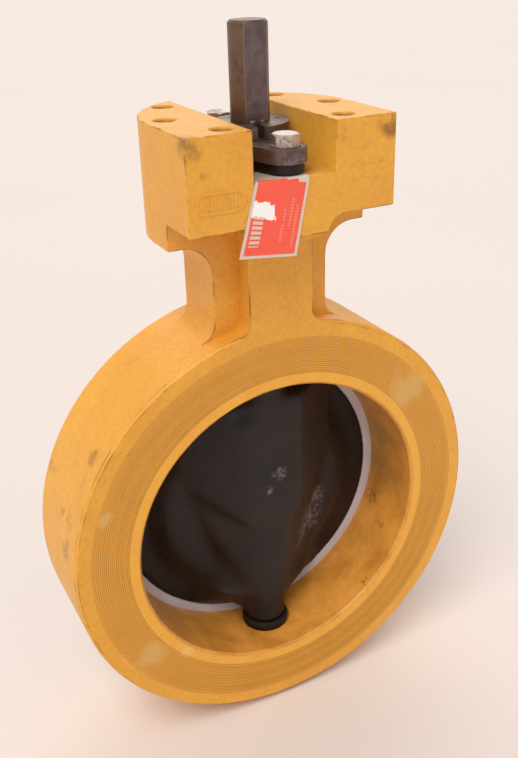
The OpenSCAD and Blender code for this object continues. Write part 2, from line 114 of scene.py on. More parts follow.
class ValveSizes(PropertyGroup):
    """Sizes of the finish that the drawing leaves out."""

    cast_round: FloatProperty(
        name="Casting edges",
        description="Radius left on the casting's corners",
        default=0.6 * MM,
        min=0.0,
        unit="LENGTH",
    )
    turned_round: FloatProperty(
        name="Ring edges",
        description="Radius left where the ring's faces are chamfered",
        default=0.35 * MM,
        min=0.0,
        unit="LENGTH",
    )
    machined_round: FloatProperty(
        name="Machined edges",
        description="Broken edge of turned and milled steel",
        default=0.3 * MM,
        min=0.0,
        unit="LENGTH",
    )
    disc_voxel: FloatProperty(
        name="Disc detail",
        description="Size of the cells that the disc's casting is rebuilt from",
        default=0.9 * MM,
        min=0.1 * MM,
        unit="LENGTH",
    )
    disc_smoothing: IntProperty(
        name="Disc smoothing",
        description="Passes that blend the disc's spine into its face",
        default=60,
        min=0,
    )
    foil: FloatProperty(
        name="Foil",
        description="Thickness of the tag",
        default=0.3 * MM,
        min=0.0,
        unit="LENGTH",
    )


class ValveColours(PropertyGroup):
    """Colours of the finishes."""

    enamel: FloatVectorProperty(
        name="Enamel",
        description="Yellow enamel where it is clean",
        subtype="COLOR",
        size=4,
        default=linear("#EFAE3C"),
    )
    enamel_worn: FloatVectorProperty(
        name="Worn enamel",
        description="Enamel gone brown with handling",
        subtype="COLOR",
        size=4,
        default=linear("#E29C34"),
    )
    primer: FloatVectorProperty(
        name="Primer",
        description="Pale coat under the enamel",
        subtype="COLOR",
        size=4,
        default=linear("#E9D08C"),
    )
    grime: FloatVectorProperty(
        name="Grime",
        description="Black grease and scuffs",
        subtype="COLOR",
        size=4,
        default=linear("#2E2119"),
    )
    disc: FloatVectorProperty(
        name="Disc",
        description="Dark coating of the disc",
        subtype="COLOR",
        size=4,
        default=linear("#171110"),
    )
    seat: FloatVectorProperty(
        name="Seat",
        description="White seat",
        subtype="COLOR",
        size=4,
        default=linear("#D8CFD4"),
    )
    foil: FloatVectorProperty(
        name="Foil",
        description="Red of the tag",
        subtype="COLOR",
        size=4,
        default=linear("#F84428"),
    )
    floor: FloatVectorProperty(
        name="Floor",
        description="Pale floor",
        subtype="COLOR",
        size=4,
        default=linear("#E5DEDB"),
    )


def feed(tree, node, values):
    """Fills a node's inputs with numbers, or with the sockets that feed them."""
    for key, value in values.items():
        if isinstance(value, bpy.types.NodeSocket):
            tree.links.new(value, node.inputs[key])
        else:
            node.inputs[key].default_value = value


def add(tree, kind, values=None, **settings):
    """Adds a node, sets its properties and feeds its inputs."""
    made = tree.nodes.new(kind)
    for name, value in settings.items():
        setattr(made, name, value)
    feed(tree, made, values or {})
    return made


def start_material(name):
    """An empty material with its shader, and the object coordinates that lay out its patterns."""
    material = bpy.data.materials.new(name)
    material.use_nodes = True
    tree = material.node_tree
    tree.nodes.clear()
    shader = add(tree, "ShaderNodeBsdfPrincipled")
    add(tree, "ShaderNodeOutputMaterial", {"Surface": shader.outputs[0]})
    place = add(tree, "ShaderNodeTexCoord").outputs["Object"]
    return material, tree, shader, place


def heaviest(tree, masks):
    """The largest of several masks."""
    top = masks[0]
    for mask in masks[1:]:
        top = add(tree, "ShaderNodeMath", {0: top, 1: mask}, operation="MAXIMUM").outputs[0]
    return top


def overlap(tree, masks):
    """The product of several masks, which is only full where all of them are."""
    shared = masks[0]
    for mask in masks[1:]:
        shared = add(tree, "ShaderNodeMath", {0: shared, 1: mask}, operation="MULTIPLY").outputs[0]
    return shared


def blots(tree, place, pattern, spots, tearing=1.3):
    """Mask of blots, each 1 in its middle and fading to 0 around its radius, torn by a pattern."""
    ragged = add(tree, "ShaderNodeMath", {0: 0.5, 1: pattern}, operation="SUBTRACT").outputs[0]
    masks = []
    for centre, radius in spots:
        reach = radius * MM
        away = add(tree, "ShaderNodeVectorMath", {0: place, 1: tuple(centre)}, operation="DISTANCE")
        torn = add(
            tree,
            "ShaderNodeMath",
            {0: ragged, 1: reach * tearing, 2: away.outputs["Value"]},
            operation="MULTIPLY_ADD",
        )
        fade = {"From Min": reach * 0.3, "From Max": reach * 1.2, "To Min": 1.0, "To Max": 0.0}
        masks.append(add(tree, "ShaderNodeMapRange", {"Value": torn.outputs[0], **fade}).outputs[0])
    return heaviest(tree, masks)


def coated(tree, tone, coats):
    """Lays coats over a tone in order, each given as its colour and the mask of where it shows."""
    for colour, mask in coats:
        blend = {SHARE: mask, UNDER: tone, OVER: colour}
        tone = add(tree, "ShaderNodeMix", blend, data_type="RGBA").outputs[MIXED]
    return tone


def stained(tree, tone, stains):
    """Stains a tone where patterns rise from low to high, each with its colour up to a share of most."""
    for colour, pattern, low, high, most in stains:
        rise = {"From Min": low, "From Max": high, "To Max": most}
        share = add(tree, "ShaderNodeMapRange", {"Value": pattern, **rise}).outputs[0]
        tone = coated(tree, tone, [(colour, share)])
    return tone


def rubbed_edges(tree, pattern, low, high, most):
    """Mask of the casting's rounded edges where a pattern rises from low to high."""
    edge = add(tree, "ShaderNodeAttribute", attribute_name="edge").outputs["Fac"]
    rise = {"From Min": low, "From Max": high, "To Max": most}
    wear = add(tree, "ShaderNodeMapRange", {"Value": pattern, **rise}).outputs[0]
    return overlap(tree, [edge, wear])


def on_ring(angle, radius, along):
    """A point on the ring: degrees from +X towards +Z, then millimetres outwards and along the pipe."""
    turn = math.radians(angle)
    return PIPE_CENTRE + Vector((radius * math.cos(turn), along, radius * math.sin(turn))) * MM


def beside_pipe(x, y, z):
    """A point given in millimetres from where the stem's axis crosses the pipe's."""
    return PIPE_CENTRE + Vector((x, y, z)) * MM


# Enamel brushed over sand-cast steel: the cast skin shows through as a fine orange-peel grain,
# with faint mottling, brown pricks, and black grease at the blocks' corners and on the rim.
def enamel_cast(colours):
    material, tree, shader, place = start_material("enamel_on_cast_steel")
    broad, patchy, fine, sand = (
        add(
            tree,
            "ShaderNodeTexNoise",
            {"Vector": place, "Scale": per_mm(size), "Detail": detail, "Roughness": rough},
        ).outputs[0]
        for size, detail, rough in ((45, 4, 0.6), (11, 6, 0.68), (2.2, 3, 0.6), (1.6, 5, 0.62))
    )
    # Broad wear, slightly darker mottling, the grain of the skin, and a few brown pricks in it
    tone = stained(
        tree,
        tuple(colours.enamel),
        (
            (tuple(colours.enamel_worn), broad, 0.4, 0.7, 0.6),
            (linear("#D9922F"), patchy, 0.5, 0.8, 0.3),
            (linear("#C5852E"), fine, 0.4, 0.6, 0.22),
            (linear("#8A5A24"), fine, 0.68, 0.78, 0.4),
        ),
    )
    # Black grease at the blocks' corners and on the rim, smeared, and dirt along rubbed edges
    scuffs = blots(
        tree,
        place,
        patchy,
        (
            (beside_pipe(-46, -40, 197), 7),
            (beside_pipe(47, -40, 193), 8),
            (beside_pipe(23, -40, 192), 4),
            (beside_pipe(-41, -40, 183), 1.6),
            (on_ring(159, 108, 20), 5),
            (on_ring(164, 108, -8), 7),
            (on_ring(146, 108, -15), 4.5),
            (on_ring(152, 108, -16), 4),
            (on_ring(172, 108, -12), 6),
        ),
    )
    smear = add(
        tree, "ShaderNodeMapRange", {"Value": patchy, "From Min": 0.46, "From Max": 0.62, "To Max": 0.6}
    ).outputs[0]
    greasy = overlap(tree, [scuffs, smear])
    rubbed = rubbed_edges(tree, patchy, 0.44, 0.6, 0.55)
    tone = coated(tree, tone, [(tuple(colours.grime), heaviest(tree, [greasy, rubbed]))])
    gloss = add(tree, "ShaderNodeMapRange", {"Value": patchy, "To Min": 0.36, "To Max": 0.56})
    skin = add(tree, "ShaderNodeBump", {"Height": sand, "Strength": 0.5, "Distance": 0.4 * MM})
    waves = add(
        tree,
        "ShaderNodeBump",
        {"Height": patchy, "Strength": 0.22, "Distance": 1.0 * MM, "Normal": skin.outputs[0]},
    )
    feed(
        tree,
        shader,
        {
            "Base Color": tone,
            "Roughness": gloss.outputs[0],
            "IOR": ENAMEL_IOR,
            "Normal": waves.outputs[0],
        },
    )
    return material


def groove_bottoms(tree, place):
    """Mask of the gasket grooves, 1 at each one's bottom, by distance from the pipe's centreline."""
    flat = add(tree, "ShaderNodeVectorMath", {0: place, 1: (1, 0, 1)}, operation="MULTIPLY").outputs[0]
    from_axis = add(
        tree, "ShaderNodeVectorMath", {0: flat, 1: (0, 0, PIPE_CENTRE.z)}, operation="DISTANCE"
    ).outputs["Value"]
    turns = add(tree, "ShaderNodeMath", {0: from_axis, 1: GROOVE_IN}, operation="SUBTRACT")
    turns = add(tree, "ShaderNodeMath", {0: turns.outputs[0], 1: GROOVE_PITCH}, operation="DIVIDE")
    wave = add(tree, "ShaderNodeMath", {0: turns.outputs[0]}, operation="FRACT")
    wave = add(tree, "ShaderNodeMath", {0: wave.outputs[0], 1: 0.5}, operation="SUBTRACT")
    wave = add(tree, "ShaderNodeMath", {0: wave.outputs[0]}, operation="ABSOLUTE")
    deep = add(tree, "ShaderNodeMapRange", {"Value": wave.outputs[0], "From Min": 0.5, "From Max": 0.12})
    after_first = add(tree, "ShaderNodeMath", {0: from_axis, 1: GROOVE_IN}, operation="GREATER_THAN")
    before_last = add(tree, "ShaderNodeMath", {0: from_axis, 1: GROOVE_OUT}, operation="LESS_THAN")
    return overlap(tree, [deep.outputs[0], after_first.outputs[0], before_last.outputs[0]])


# The same enamel on the turned ring face: the grooves are darker orange at their bottoms, partly paint lying
# thicker there and partly painted shade, with a few patches worn through to the primer.
def enamel_turned(colours):
    material, tree, shader, place = start_material("enamel_on_turned_face")
    patchy, fine = (
        add(
            tree,
            "ShaderNodeTexNoise",
            {"Vector": place, "Scale": per_mm(size), "Detail": detail, "Roughness": rough},
        ).outputs[0]
        for size, detail, rough in ((14, 6, 0.65), (2.5, 4, 0.6))
    )
    worn = (tuple(colours.enamel_worn), patchy, 0.45, 0.75, 0.5)
    tone = stained(tree, tuple(colours.enamel), [worn])
    # Darker orange at the groove bottoms: paint lying thicker there, and painted shade in the grooves
    groove_paint_and_shade = overlap(tree, [groove_bottoms(tree, place), 0.66])
    # Primer showing in patches
    bare = blots(
        tree,
        place,
        patchy,
        (
            (on_ring(158, 105, -26), 6),
            (on_ring(160, 98, -26), 5),
            (on_ring(-146, 92, -26), 8),
            (on_ring(-143, 104, -26), 6),
            (on_ring(-136, 80, -26), 4.5),
            (on_ring(40, 92, -26), 10),
        ),
        tearing=3.9,
    )
    thin = overlap(tree, [bare, 0.34])
    # Brown specks, and dirt along the edges
    specks = add(
        tree, "ShaderNodeMapRange", {"Value": fine, "From Min": 0.66, "From Max": 0.74, "To Max": 0.55}
    ).outputs[0]
    rubbed = rubbed_edges(tree, fine, 0.4, 0.6, 0.45)
    dirty = heaviest(tree, [specks, rubbed])
    coats = ((linear("#B4701E"), groove_paint_and_shade), (tuple(colours.primer), thin), (linear("#6B4520"), dirty))
    tone = coated(tree, tone, coats)
    gloss = add(tree, "ShaderNodeMapRange", {"Value": patchy, "To Min": 0.34, "To Max": 0.52})
    grain = add(tree, "ShaderNodeBump", {"Height": fine, "Strength": 0.18, "Distance": 0.4 * MM})
    feed(
        tree,
        shader,
        {
            "Base Color": tone,
            "Roughness": gloss.outputs[0],
            "IOR": ENAMEL_IOR,
            "Normal": grain.outputs[0],
        },
    )
    return material


# The enamel inside the bores: smoother, deeper orange, with a painted olive shadow on the wall beside the
# seat and black specks where grit struck it.
def enamel_bore(colours):
    material, tree, shader, place = start_material("enamel_on_bored_wall")
    patchy, fine = (
        add(
            tree,
            "ShaderNodeTexNoise",
            {"Vector": place, "Scale": per_mm(size), "Detail": detail, "Roughness": rough},
        ).outputs[0]
        for size, detail, rough in ((18, 6, 0.68), (1.8, 4, 0.7))
    )
    tone = stained(tree, linear("#E8A145"), [(linear("#C07E2C"), patchy, 0.38, 0.66, 0.85)])
    # Painted shadow: an olive-brown patch on the bore wall beside the seat, where shade falls
    wall_shadow = blots(tree, place, patchy, ((beside_pipe(72, 8, 8), 26),))
    struck = blots(
        tree,
        place,
        patchy,
        (
            (on_ring(-17, 76, 3), 6),
            (on_ring(-24, 76, -8), 4),
            (on_ring(-48, 76, -22), 2.5),
            (on_ring(-112, 76, -14), 2),
        ),
    )
    grit = add(tree, "ShaderNodeMapRange", {"Value": fine, "From Min": 0.53, "From Max": 0.6}).outputs[0]
    painted_wall_shadow = (linear("#8A6A3C"), overlap(tree, [wall_shadow, 0.4]))
    specked = (tuple(colours.grime), overlap(tree, [struck, grit]))
    tone = coated(tree, tone, [painted_wall_shadow, specked])
    gloss = add(tree, "ShaderNodeMapRange", {"Value": patchy, "To Min": 0.3, "To Max": 0.5})
    grain = add(tree, "ShaderNodeBump", {"Height": fine, "Strength": 0.14, "Distance": 0.4 * MM})
    feed(
        tree,
        shader,
        {
            "Base Color": tone,
            "Roughness": gloss.outputs[0],
            "IOR": ENAMEL_IOR,
            "Normal": grain.outputs[0],
        },
    )
    return material


# Dark coating on the cast disc: nearly black with brown where it is thin, a satin sheen and
# chalky scuffs.
def disc_coating(colours):
    material, tree, shader, place = start_material("coating_on_cast_disc")
    broad, fine = (
        add(
            tree,
            "ShaderNodeTexNoise",
            {"Vector": place, "Scale": per_mm(size), "Detail": detail, "Roughness": rough},
        ).outputs[0]
        for size, detail, rough in ((32, 4, 0.6), (2.0, 6, 0.72))
    )
    tone = stained(tree, tuple(colours.disc), [(linear("#271B17"), broad, 0.4, 0.68, 0.9)])
    chalk = blots(
        tree,
        place,
        fine,
        (
            (beside_pipe(27, 5, -21), 11),
            (beside_pipe(34, 5, -10), 6),
            (beside_pipe(22, 4, -29), 8),
            (beside_pipe(4, -13, 22), 4),
            (beside_pipe(-2, -13, 14), 2.5),
        ),
    )
    mottled = add(
        tree, "ShaderNodeMapRange", {"Value": fine, "From Min": 0.42, "From Max": 0.62, "To Max": 0.5}
    ).outputs[0]
    tone = coated(tree, tone, [(linear("#A9A19B"), overlap(tree, [chalk, mottled]))])
    gloss = add(tree, "ShaderNodeMapRange", {"Value": fine, "To Min": 0.36, "To Max": 0.62})
    skin = add(tree, "ShaderNodeBump", {"Height": fine, "Strength": 0.25, "Distance": 0.5 * MM})
    waves = add(
        tree,
        "ShaderNodeBump",
        {"Height": broad, "Strength": 0.3, "Distance": 3 * MM, "Normal": skin.outputs[0]},
    )
    feed(
        tree,
        shader,
        {
            "Base Color": tone,
            "Roughness": gloss.outputs[0],
            "IOR": COATING_IOR,
            "Normal": waves.outputs[0],
        },
    )
    return material


# Oil-stained steel inside the tapped holes, with enamel run onto the threads: brown and dull.
def tapped_steel():
    material, tree, shader, place = start_material("oiled_tapped_steel")
    stain = add(tree, "ShaderNodeTexNoise", {"Vector": place, "Scale": per_mm(3), "Detail": 4.0})
    tone = coated(tree, linear("#7A4E22"), [(linear("#C98F45"), stain.outputs[0])])
    feed(tree, shader, {"Base Color": tone, "Roughness": 0.42})
    return material


# Filled fluoropolymer seat, turned and left bare: waxy white with a soft shine and a little
# light passing into it.
def seat_polymer(colours):
    material, tree, shader, place = start_material("turned_white_seat")
    cloud = add(
        tree, "ShaderNodeTexNoise", {"Vector": place, "Scale": per_mm(20), "Detail": 3.0}
    ).outputs[0]
    gloss = add(tree, "ShaderNodeMapRange", {"Value": cloud, "To Min": 0.32, "To Max": 0.46})
    feed(
        tree,
        shader,
        {
            "Base Color": coated(tree, tuple(colours.seat), [(linear("#B9ABAF"), cloud)]),
            "Roughness": gloss.outputs[0],
            "IOR": FLUOROPOLYMER_IOR,
            "Subsurface Weight": 0.15,
            "Subsurface Scale": 1.5 * MM,
        },
    )
    return material


# Bare steel that has been handled and stored: brown-grey oxide over the turned or milled
# finish, with bright speckles where the oxide is rubbed off. The speckles are drawn coarser
# than real ones so that they show.
def stored_steel(name, bright, oxide, share, gloss_low, gloss_high, squash=(1, 1, 1)):
    material, tree, shader, place = start_material(name)
    stretched = add(tree, "ShaderNodeMapping", {"Vector": place, "Scale": squash}).outputs[0]
    broad, fine = (
        add(
            tree,
            "ShaderNodeTexNoise",
            {"Vector": stretched, "Scale": per_mm(size), "Detail": detail, "Roughness": 0.7},
        ).outputs[0]
        for size, detail in ((9, 6), (1.3, 5))
    )
    mixed = add(tree, "ShaderNodeMath", {0: fine, 1: 0.45, 2: broad}, operation="MULTIPLY_ADD").outputs[0]
    # A larger share brings the oxide in at a lower level of the pattern
    onset = 0.85 - share * 0.3
    stain = add(
        tree, "ShaderNodeMapRange", {"Value": mixed, "From Min": onset, "From Max": onset + 0.15}
    ).outputs[0]
    metal = add(tree, "ShaderNodeMapRange", {"Value": stain, "To Min": 1.0, "To Max": 0.45})
    shine = {"From Min": 0.5, "From Max": 1.0, "To Min": gloss_low, "To Max": gloss_high}
    gloss = add(tree, "ShaderNodeMapRange", {"Value": mixed, **shine})
    skin = add(tree, "ShaderNodeBump", {"Height": fine, "Strength": 0.22, "Distance": 0.25 * MM})
    feed(
        tree,
        shader,
        {
            "Base Color": coated(tree, linear(bright), [(linear(oxide), stain)]),
            "Metallic": metal.outputs[0],
            "Roughness": gloss.outputs[0],
            "Normal": skin.outputs[0],
        },
    )
    return material


# The stem's flats are milled and blue-grey, its round sides are turned and browner, and the
# edge between them is rubbed bright.
def two_tone_stem():
    material = stored_steel(
        "handled_stem_steel", "#7C6455", "#5E483B", 0.5, 0.36, 0.52, squash=(1, 1, 0.5)
    )
    tree = material.node_tree
    shader = next(n for n in tree.nodes if n.type == "BSDF_PRINCIPLED")
    turned = shader.inputs["Base Color"].links[0].from_socket
    place = add(tree, "ShaderNodeTexCoord").outputs
    cloud = add(
        tree,
        "ShaderNodeTexNoise",
        {"Vector": place["Object"], "Scale": per_mm(5), "Detail": 6.0, "Roughness": 0.7},
    )
    milled = coated(tree, linear("#3C383E"), [(linear("#8E7C7C"), cloud.outputs[0])])
    # The flats face along y, and only the part that stands above the head has them
    split = add(tree, "ShaderNodeSeparateXYZ", {0: place["Normal"]})
    facing = add(tree, "ShaderNodeMath", {0: split.outputs[1]}, operation="ABSOLUTE").outputs[0]
    height = add(tree, "ShaderNodeSeparateXYZ", {0: place["Object"]}).outputs[2]
    above = add(
        tree, "ShaderNodeMath", {0: height, 1: HEAD_TOP - 4 * MM}, operation="GREATER_THAN"
    ).outputs[0]
    coats = []
    for colour, low, high in ((linear("#CDBFB4"), 0.8, 0.86), (milled, 0.975, 0.99)):
        square_on = add(tree, "ShaderNodeMapRange", {"Value": facing, "From Min": low, "From Max": high})
        coats.append((colour, overlap(tree, [square_on.outputs[0], above])))
    feed(tree, shader, {"Base Color": coated(tree, turned, coats)})
    return material


# Turned bearing bronze: warm, satin, with fine turning lines.
def bearing_bronze():
    material, tree, shader, place = start_material("turned_bearing_bronze")
    rings = add(
        tree,
        "ShaderNodeTexWave",
        {"Vector": place, "Scale": per_mm(6), "Distortion": 0.5, "Detail": 2.0},
        wave_type="BANDS",
        bands_direction="Z",
    ).outputs["Fac"]
    lines = add(tree, "ShaderNodeBump", {"Height": rings, "Strength": 0.12, "Distance": 0.2 * MM})
    feed(
        tree,
        shader,
        {
            "Base Color": coated(tree, linear("#B08A52"), [(linear("#8E6A38"), rings)]),
            "Metallic": 1.0,
            "Roughness": 0.34,
            "Normal": lines.outputs[0],
        },
    )
    return material


# Plaited packing and gasket sheet: dull, fibrous and speckled.
def fibre(name, pale, dark, strand):
    material, tree, shader, place = start_material(name)
    plait = add(
        tree,
        "ShaderNodeTexNoise",
        {"Vector": place, "Scale": per_mm(strand), "Detail": 5.0, "Roughness": 0.7},
    ).outputs[0]
    relief = add(tree, "ShaderNodeBump", {"Height": plait, "Strength": 0.5, "Distance": 0.4 * MM})
    feed(
        tree,
        shader,
        {
            "Base Color": coated(tree, linear(pale), [(linear(dark), plait)]),
            "Roughness": 0.8,
            "Normal": relief.outputs[0],
        },
    )
    return material


def strip(tree, along, low, high):
    """Mask of the strip where a coordinate lies between low and high."""
    over = add(tree, "ShaderNodeMath", {0: along, 1: low}, operation="GREATER_THAN").outputs[0]
    under = add(tree, "ShaderNodeMath", {0: along, 1: high}, operation="LESS_THAN").outputs[0]
    return overlap(tree, [over, under])


def rungs(tree, along, count, start, end):
    """Mask of evenly spaced rungs, each filling its step from start to end."""
    steps = add(tree, "ShaderNodeMath", {0: along, 1: count}, operation="MULTIPLY").outputs[0]
    step = add(tree, "ShaderNodeMath", {0: steps}, operation="FRACT").outputs[0]
    return strip(tree, step, start, end)


# Aluminium foil label printed red on its face: a pale border, plain pale bars in place of print, a painted
# white glare at its left side, and small creases.
def printed_foil(colours):
    material, tree, shader, place = start_material("red_printed_foil")
    sheet = add(tree, "ShaderNodeAttribute", attribute_name="across_down").outputs["Vector"]
    split = add(tree, "ShaderNodeSeparateXYZ", {0: sheet})
    across, down = split.outputs[0], split.outputs[1]
    crease = add(
        tree,
        "ShaderNodeTexNoise",
        {"Vector": place, "Scale": per_mm(6), "Detail": 6.0, "Roughness": 0.7},
    ).outputs[0]
    # Rows of small bars, each given as its place across and its run down
    rows = []
    for start, low, high in (
        (0.62, 0.36, 0.52),
        (0.62, 0.56, 0.80),
        (0.74, 0.22, 0.60),
        (0.84, 0.30, 0.86),
    ):
        row = [strip(tree, across, start, start + 0.045), strip(tree, down, low, high)]
        rows.append(overlap(tree, [*row, rungs(tree, down, 26.0, -1.0, 0.55)]))
    # A ladder of broad bars down the left, and a painted white glare, torn by the creases
    ladder = [strip(tree, across, 0.1, 0.28), strip(tree, down, 0.5, 0.86), rungs(tree, down, 17.0, 0.4, 2.0)]
    glare_down = add(tree, "ShaderNodeMath", {0: crease, 1: 0.35, 2: down}, operation="MULTIPLY_ADD")
    glare_across = add(tree, "ShaderNodeMath", {0: crease, 1: 0.9, 2: across}, operation="MULTIPLY_ADD")
    painted_glare = [strip(tree, glare_across.outputs[0], -0.1, 0.86), strip(tree, glare_down.outputs[0], 0.5, 0.68)]
    # Bare foil outside the printed field
    printed = overlap(tree, [strip(tree, across, 0.05, 0.95), strip(tree, down, 0.0, 0.965)])
    border = add(tree, "ShaderNodeMath", {0: 1.0, 1: printed}, operation="SUBTRACT").outputs[0]
    tone = coated(
        tree,
        tuple(colours.foil),
        (
            (linear("#FF6A50"), crease),
            (linear("#F3B7A4"), overlap(tree, [heaviest(tree, rows), 0.42])),
            (linear("#D8CFC0"), overlap(tree, ladder)),
            # Painted glare: pure white where light glints off the foil
            (linear("#FFFFFF"), overlap(tree, painted_glare)),
            (linear("#D9CDC2"), border),
        ),
    )
    folds = add(tree, "ShaderNodeBump", {"Height": crease, "Strength": 0.35, "Distance": 0.8 * MM})
    feed(
        tree,
        shader,
        {
            "Base Color": tone,
            "Roughness": 0.3,
            "Coat Weight": 0.3,
            "Coat Roughness": 0.2,
            "Normal": folds.outputs[0],
        },
    )
    return material


def merged_mesh(node):
    """A node's mesh with its doubled points joined and its flat faces made whole."""
    work = bmesh.new()
    work.from_mesh(frame["nodes"][node].data)
    bmesh.ops.remove_doubles(work, verts=work.verts, dist=WELD)
    bmesh.ops.dissolve_limit(work, angle_limit=FLAT_WITHIN, verts=work.verts, edges=work.edges)
    return work


def finish_piece(work, name, body, materials, node):
    """Turns a mesh into a named piece that rides on a body and stands for its node."""
    mesh = bpy.data.meshes.new(name)
    work.to_mesh(mesh)
    work.free()
    piece = bpy.data.objects.new(name, mesh)
    bpy.context.scene.collection.objects.link(piece)
    for material in materials:
        mesh.materials.append(material)
    mesh.shade_smooth()
    mesh.set_sharp_from_angle(angle=HARD_FROM)
    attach(piece, body)
    if node:
        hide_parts(node)
    return piece


def even_normals(piece):
    """Lets the large flat faces set the shading, so that it stays even up to their rounded edges."""
    even = piece.modifiers.new("even_normals", "WEIGHTED_NORMAL")
    even.keep_sharp = True


def finish_node(name, material, width):
    """Breaks a CAD part's edges, evens its shading and gives it its material."""
    part = frame["nodes"][name]
    part.data.materials.clear()
    part.data.materials.append(material)
    weld = part.modifiers.new("weld", "WELD")
    weld.merge_threshold = WELD
    if width > 0:
        edges = part.modifiers.new("broken_edges", "BEVEL")
        edges.width = width
        edges.segments = 2
        edges.limit_method = "ANGLE"
        edges.angle_limit = math.radians(40)
    even_normals(part)


def from_pipe(point):
    """Distance of a point from the pipe's centreline."""
    return math.hypot(point.x, point.z - PIPE_CENTRE.z)


def in_stem_bore(point):
    """Whether a point lies in the bores that the stem and its packing fill."""
    return math.hypot(point.x, point.y) < STEM_BORE


def in_grooves(point):
    """Whether a point lies on the grooved band of a gasket face."""
    margin = 0.4 * MM
    return GROOVE_IN - margin < from_pipe(point) < GROOVE_OUT + margin and abs(point.y) > FACE_NEAR


def over_holes(point, holes, reach):
    """Whether a point lies over one of some upright holes."""
    return any(math.hypot(point.x - x * MM, point.y - y * MM) < reach for x, y in holes)


def plain_corner(edge, least, most=math.tau):
    """Whether an edge is an outer corner of some angle, clear of bores, holes and grooves."""
    return (
        len(edge.link_faces) == 2
        and edge.is_convex
        and least < edge.calc_face_angle() < most
        and not any(
            in_stem_bore(v.co) or in_grooves(v.co) or over_holes(v.co, PAD_HOLES + BOLT_HOLES, HOLE_REACH)
            for v in edge.verts
        )
    )


def round_corners(work, corners, radius, steps, wear):
    """Rounds some edges of the casting, and notes how far their new faces are rubbed."""
    made = bmesh.ops.bevel(
        work, geom=corners, offset=radius, segments=steps, profile=0.5, affect="EDGES", clamp_overlap=False
    )
    edge = work.faces.layers.float["edge"]
    for face in made["faces"]:
        face[edge] = wear


def casting_slot(face):
    """Material slot of a face: 0 cast skin, 1 turned face, 2 bored wall, 3 tapped hole."""
    middle = face.calc_center_median()
    reach = max(from_pipe(v.co) for v in face.verts)
    depth = HEAD_TOP - middle.z
    if 0.9 * MM < depth < PAD_HOLE_DEPTH and over_holes(middle, PAD_HOLES, PAD_HOLE_RADIUS + 0.1 * MM):
        return 3
    if reach < PORT_RADIUS + 1.3 * MM or all(in_stem_bore(v.co) for v in face.verts):
        return 2
    if reach < GROOVE_OUT + 0.3 * MM and all(FACE_NEAR < abs(v.co.y) < FACE_FAR for v in face.verts):
        return 1
    return 0


class VALVE_OT_casting(Operator):
    """Rounds the body casting's edges and enamels it"""

    bl_idname = "valve.casting"
    bl_label = "Body casting"

    def execute(self, context):
        sizes, colours = context.scene.valve_sizes, context.scene.valve_colours
        work = merged_mesh("body")
        work.faces.layers.float.new("edge")
        # The neck's, head's and foot's corners, but not those of the badge on the head's front
        outside = [
            e
            for e in work.edges
            if plain_corner(e, math.radians(50))
            and all(from_pipe(v.co) > RING_RADIUS - 9 * MM for v in e.verts)
            and not any(v.co.y < HEAD_FRONT - 0.2 * MM for v in e.verts)
        ]
        round_corners(work, outside, sizes.cast_round, 3, 1.0)
        rims = [
            e
            for e in work.edges
            if plain_corner(e, math.radians(30), math.radians(60))
            and all(abs(v.co.y) > FACE_NEAR and from_pipe(v.co) < RING_RADIUS + 1 * MM for v in e.verts)
        ]
        round_corners(work, rims, sizes.turned_round, 2, 0.7)
        for face in work.faces:
            face.material_index = casting_slot(face)
        coats = [enamel_cast(colours), enamel_turned(colours), enamel_bore(colours), tapped_steel()]
        casting = finish_piece(work, "valve_casting", BODY, coats, "body")
        even_normals(casting)
        return {"FINISHED"}


class VALVE_OT_threads(Operator):
    """Cuts the screw threads that show in the mounting pads' holes"""

    bl_idname = "valve.threads"
    bl_label = "Tapped threads"

    def execute(self, context):
        pitch, crest, root = 1.5 * MM, 3.75 * MM, 4.3 * MM
        turns, steps = 9, 28
        first = HEAD_TOP - 1.6 * MM
        # Corners of the thread's section: radius, and height as a share of the pitch
        section = ((root, 0.55), (crest, 0.08), (crest, -0.08), (root, -0.55))
        work = bmesh.new()
        for x, y in PAD_HOLES:
            middle = Vector((x * MM, y * MM, 0))
            rings = []
            for i in range(turns * steps + 1):
                turn = math.tau * i / steps
                z = first - pitch * i / steps
                rings.append(
                    [
                        work.verts.new(
                            middle + Vector((r * math.cos(turn), r * math.sin(turn), z + lift * pitch))
                        )
                        for r, lift in section
                    ]
                )
            for one, two in zip(rings, rings[1:]):
                for k in range(4):
                    work.faces.new((one[k], one[(k + 1) % 4], two[(k + 1) % 4], two[k]))
            work.faces.new(rings[0])
            work.faces.new(list(reversed(rings[-1])))
        bmesh.ops.recalc_face_normals(work, faces=work.faces)
        steel = bpy.data.materials["oiled_tapped_steel"]
        finish_piece(work, "pad_threads", BODY, [steel], None)
        return {"FINISHED"}


def soften(work, verts, passes):
    """Relaxes some points towards their neighbours, a number of times."""
    for _ in range(passes):
        bmesh.ops.smooth_vert(
            work, verts=verts, factor=0.5, use_axis_x=True, use_axis_y=True, use_axis_z=True
        )


def rebuilt_in_cells(context, work, size):
    """One closed skin around all the overlapping solids of a mesh, rebuilt from small cells."""
    mesh = bpy.data.meshes.new("disc_blank")
    work.to_mesh(mesh)
    work.free()
    blank = bpy.data.objects.new("disc_blank", mesh)
    bpy.context.scene.collection.objects.link(blank)
    cells = blank.modifiers.new("cells", "REMESH")
    cells.mode = "VOXEL"
    cells.voxel_size = size
    skin = bpy.data.meshes.new_from_object(blank.evaluated_get(context.evaluated_depsgraph_get()))
    bpy.data.objects.remove(blank)
    rebuilt = bmesh.new()
    rebuilt.from_mesh(skin)
    return rebuilt


